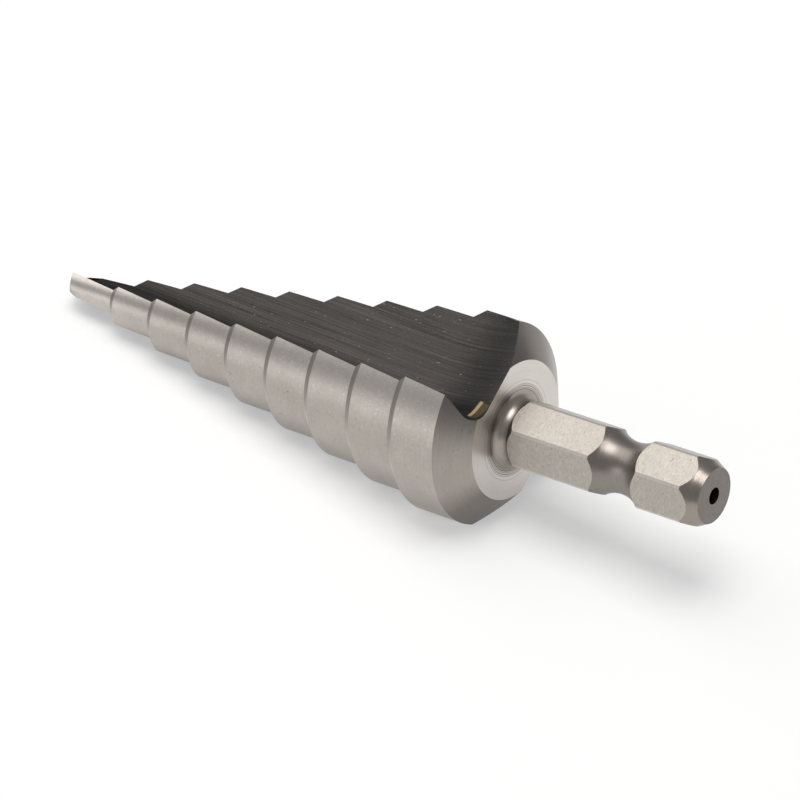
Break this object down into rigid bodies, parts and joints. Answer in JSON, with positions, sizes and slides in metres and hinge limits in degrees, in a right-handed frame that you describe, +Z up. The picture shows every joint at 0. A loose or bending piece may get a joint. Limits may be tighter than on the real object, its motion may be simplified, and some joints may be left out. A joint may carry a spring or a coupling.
{
  "type": "step drill",
  "caption": "Stepped cone drill with straight flutes and a quick-change hex shank, for opening out round holes in sheet metal.",
  "frame": {"origin": "centre of the bounding box on the surface that the drill lies on", "axes": "+Z up, +X from the point towards the shank, the drill lying at rest on the edges of its lower flute"},
  "size_m": [0.0786, 0.02, 0.0167],
  "materials": {
    "tool_steel": "fine ground, uncoated"
  },
  "bodies": {
    "root": {"step_drill": "tool_steel"}
  },
  "joints": []
}
